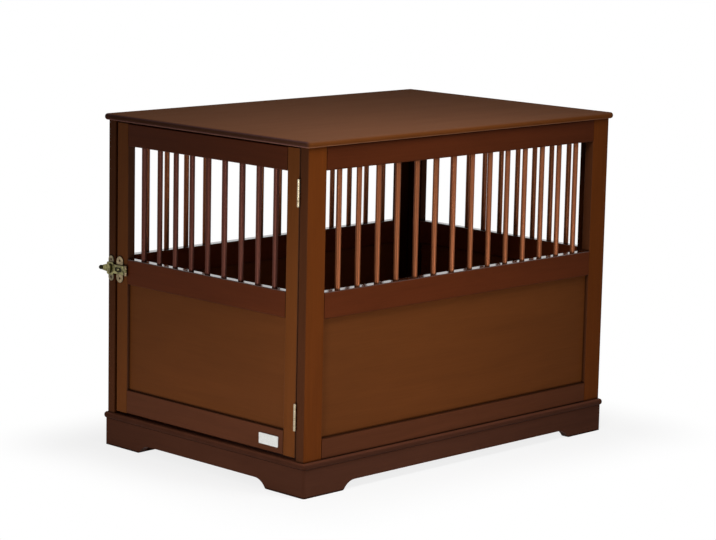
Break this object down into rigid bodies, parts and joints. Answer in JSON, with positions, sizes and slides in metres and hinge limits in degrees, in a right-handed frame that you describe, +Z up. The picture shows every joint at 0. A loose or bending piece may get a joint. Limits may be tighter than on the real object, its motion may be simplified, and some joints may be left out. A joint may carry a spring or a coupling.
{
  "type": "pet crate",
  "caption": "Wooden pet crate that doubles as a side table: framed sides with dowel bars over recessed panels, an inset hinged door with a hasp, and a bracket-foot plinth.",
  "frame": {"origin": "on the floor, under the middle of the crate's frames", "axes": "+Z up to the table top, +Y from the door end to the back along the long sides, +X towards the side that the door is hinged on"},
  "size_m": [0.5633, 0.8457, 0.64],
  "materials": {
    "stained_board": "satin walnut stain",
    "stained_frame": "satin walnut stain",
    "stained_panel": "satin walnut stain",
    "stained_dowel": "satin walnut stain",
    "stained_plinth": "satin walnut stain",
    "hinge_brass": "polished",
    "latch_brass": "antique",
    "screw_brass": "antique",
    "screw_steel": "zinc plated"
  },
  "bodies": {
    "crate": {"back_bottom_rail": "stained_frame", "back_dowels": "stained_dowel", "back_left_stile": "stained_frame", "back_mid_rail": "stained_frame", "back_panel": "stained_panel", "back_right_stile": "stained_frame", "back_top_rail": "stained_frame", "base_board": "stained_board", "base_screws": "screw_steel", "door_stop_rail": "stained_frame", "left_back_stile": "stained_frame", "left_bottom_rail": "stained_frame", "left_dowels": "stained_dowel", "left_front_stile": "stained_frame", "left_mid_rail": "stained_frame", "left_panel": "stained_panel", "left_top_rail": "stained_frame", "lower_hinge_pin": "hinge_brass", "lower_hinge_post_leaf": "hinge_brass", "lower_hinge_post_screws": "screw_brass", "plinth_back": "stained_plinth", "plinth_corner_blocks": "stained_plinth", "plinth_front": "stained_plinth", "plinth_left": "stained_plinth", "plinth_right": "stained_plinth", "right_back_stile": "stained_frame", "right_bottom_rail": "stained_frame", "right_dowels": "stained_dowel", "right_front_stile": "stained_frame", "right_mid_rail": "stained_frame", "right_panel": "stained_panel", "right_top_rail": "stained_frame", "staple_plate": "latch_brass", "staple_screws": "screw_brass", "table_top": "stained_board", "top_pins": "stained_dowel", "upper_hinge_pin": "hinge_brass", "upper_hinge_post_leaf": "hinge_brass", "upper_hinge_post_screws": "screw_brass"},
    "door": {"door_bottom_rail": "stained_frame", "door_dowels": "stained_dowel", "door_hinge_stile": "stained_frame", "door_latch_stile": "stained_frame", "door_mid_rail": "stained_frame", "door_panel": "stained_panel", "door_top_rail": "stained_frame", "upper_hinge_door_leaf": "hinge_brass", "lower_hinge_door_leaf": "hinge_brass", "upper_hinge_door_screws": "screw_brass", "lower_hinge_door_screws": "screw_brass", "hasp_plate": "latch_brass", "hasp_screws": "screw_brass", "hasp_pin": "latch_brass"},
    "hasp_strap": {"hasp_strap": "latch_brass"},
    "turn_knob": {"turn_knob": "latch_brass"}
  },
  "joints": [
    {"name": "door_swing", "type": "hinge", "parent": "crate", "child": "door", "pos_m": [0.24825, -0.4135, 0.346], "axis": [0, 0, 1], "range_deg": [0, 180]},
    {"name": "strap_swing", "type": "hinge", "parent": "door", "child": "hasp_strap", "pos_m": [-0.21725, -0.4136, 0.3455], "axis": [0, 0, 1], "range_deg": [0, 165]},
    {"name": "knob_turn", "type": "hinge", "parent": "crate", "child": "turn_knob", "pos_m": [-0.26, -0.417, 0.3455], "axis": [0, -1, 0], "range_deg": [0, 90]}
  ]
}
